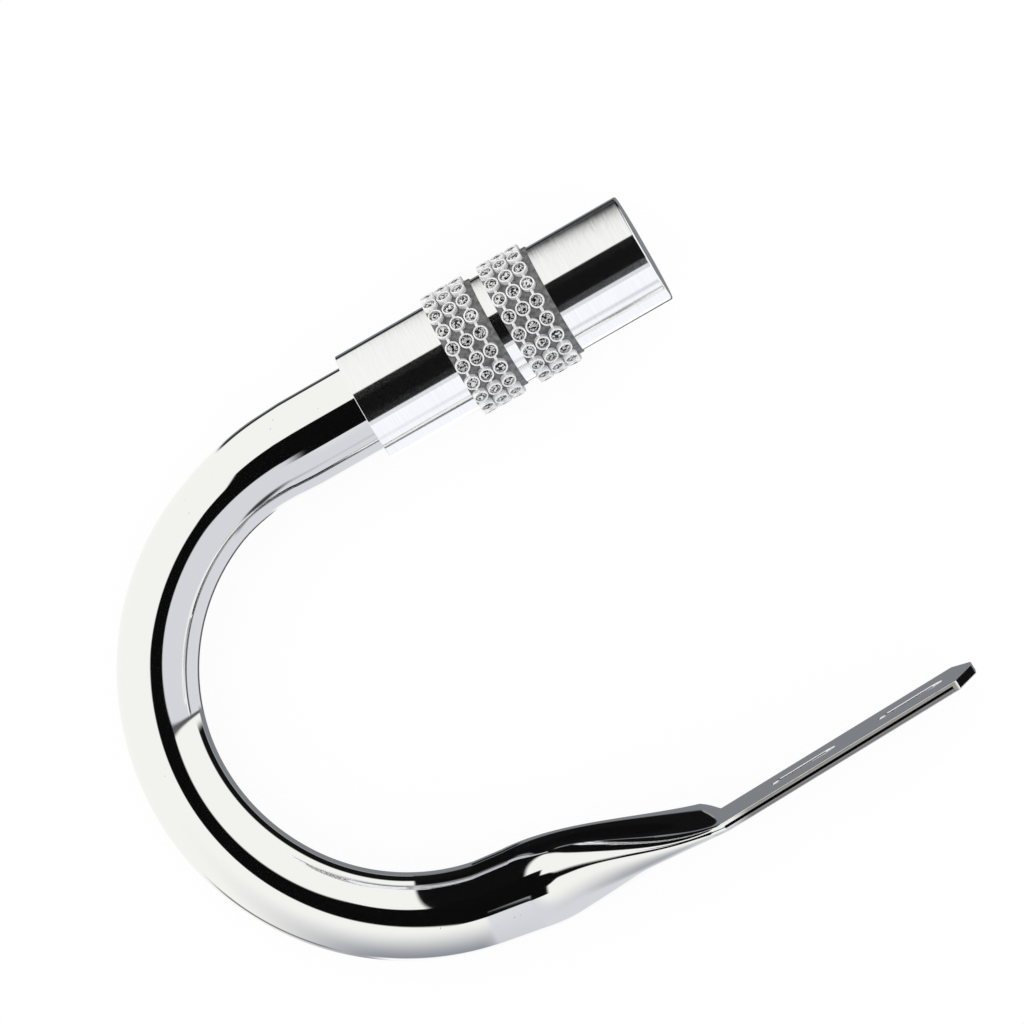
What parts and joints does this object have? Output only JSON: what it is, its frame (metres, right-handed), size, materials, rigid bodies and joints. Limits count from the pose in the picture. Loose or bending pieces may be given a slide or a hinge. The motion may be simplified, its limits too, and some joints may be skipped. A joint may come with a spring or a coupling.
{
  "type": "curtain holdback",
  "caption": "J-shaped chrome curtain holdback bent from round tube, pressed flat into a slotted wall plate, with a brushed barrel finial ringed by bands of crystals.",
  "frame": {"origin": "on the wall plate's back face, midway between the two screw slots", "axes": "+Y out of the plate's back face, into the wall; +X along the plate towards the bend; +Z square to the plane of the hook. The arm and finial reach into the room, to -Y"},
  "size_m": [0.1855, 0.1458, 0.0338],
  "materials": {
    "chrome_tube": "polished chrome plate on steel tube",
    "brushed_sleeve": "fine circumferential brushing",
    "bush_plastic": "plain moulded",
    "band_strip": "grey satin strip",
    "band_setting": "clear silver moulding, glossy",
    "crystal": "clear faceted"
  },
  "bodies": {
    "root": {"hook_tube": "chrome_tube", "finial_sleeve": "brushed_sleeve", "adaptor_bush": "bush_plastic", "mouth_band_strip": "band_strip", "mouth_band_setting": "band_setting", "mouth_band_crystals": "crystal", "end_band_strip": "band_strip", "end_band_setting": "band_setting", "end_band_crystals": "crystal"}
  },
  "joints": []
}
